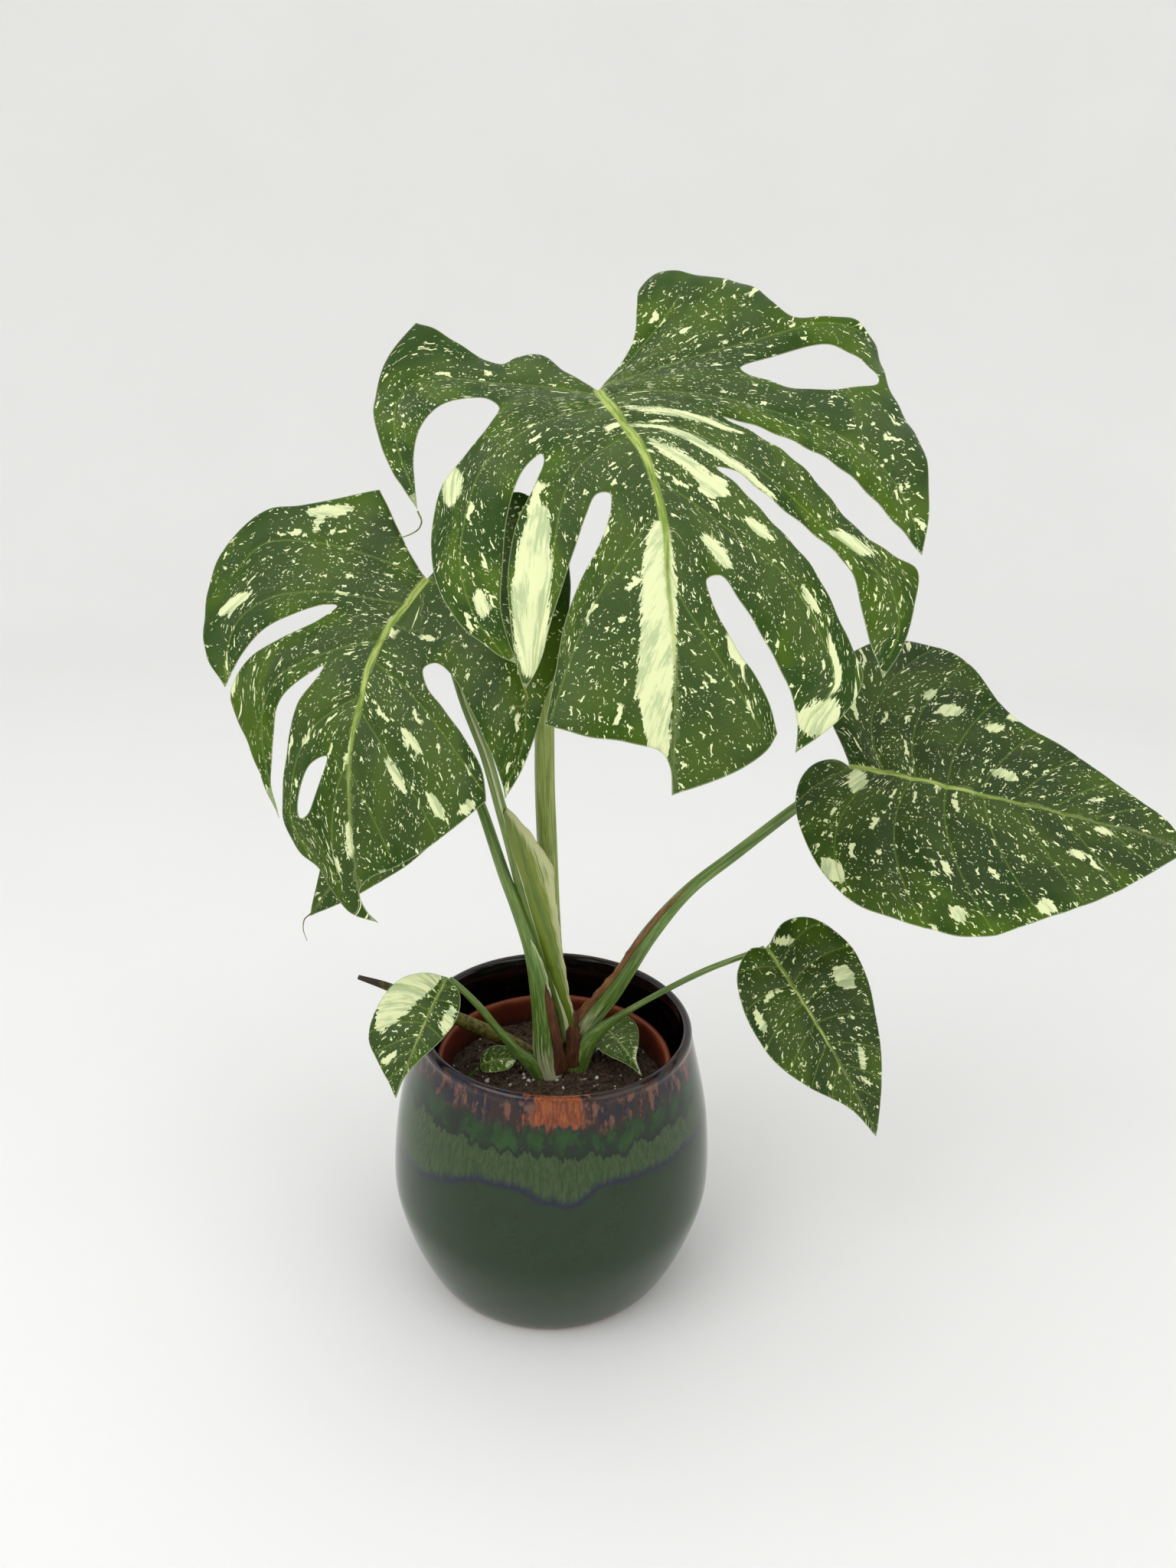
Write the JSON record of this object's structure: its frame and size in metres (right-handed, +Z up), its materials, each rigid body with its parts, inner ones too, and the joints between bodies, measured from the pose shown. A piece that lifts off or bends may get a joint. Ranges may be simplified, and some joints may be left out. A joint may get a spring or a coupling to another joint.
{
  "type": "potted monstera plant",
  "caption": "Variegated monstera house plant with split and whole leaves, in a nursery pot of soil set inside a glazed barrel-shaped clay pot.",
  "frame": {"origin": "centre of the glazed pot's flat underside, where it stands on the table", "axes": "+Z up through the pot; -Y is the front, towards which the large leaves face; +X is to the right seen from the front"},
  "size_m": [0.6222, 0.2707, 0.698],
  "materials": {
    "pot_glaze": "glossy reactive glaze, deep green under a brown rim",
    "nursery_plastic": "brick-brown moulded plastic",
    "soil": "coarse damp potting soil with white perlite",
    "stem": "scarred brown-green stem",
    "pale_stalk": "pale yellow-green with fine lengthwise stripes",
    "stalk": "green with cream lengthwise stripes",
    "withered": "mottled yellow-green, drying to dark brown",
    "dry_sheath": "papery brown dried sheath",
    "leaf": "leathery dark green with cream speckles and splashes"
  },
  "bodies": {
    "root": {"glazed_pot": "pot_glaze", "nursery_pot": "nursery_plastic", "potting_soil": "soil", "main_stem": "stem", "stalk_top_leaf": "pale_stalk", "stalk_left_leaf": "stalk", "stalk_low_left_leaf": "stalk", "stalk_right_leaf": "stalk", "stalk_low_right_leaf": "stalk", "stalk_small_left_leaf": "stalk", "stalk_seedling_right": "stalk", "stalk_seedling_left": "stalk", "withered_stalk": "withered", "dry_sheath_right": "dry_sheath", "dry_sheath_front": "dry_sheath", "dry_sheath_stem": "dry_sheath", "leaf_top": "leaf", "leaf_left": "leaf", "leaf_right": "leaf", "leaf_low_right": "leaf", "leaf_low_left": "leaf", "leaf_small_left": "leaf", "leaf_seedling_right": "leaf", "leaf_seedling_left": "leaf"}
  },
  "joints": []
}
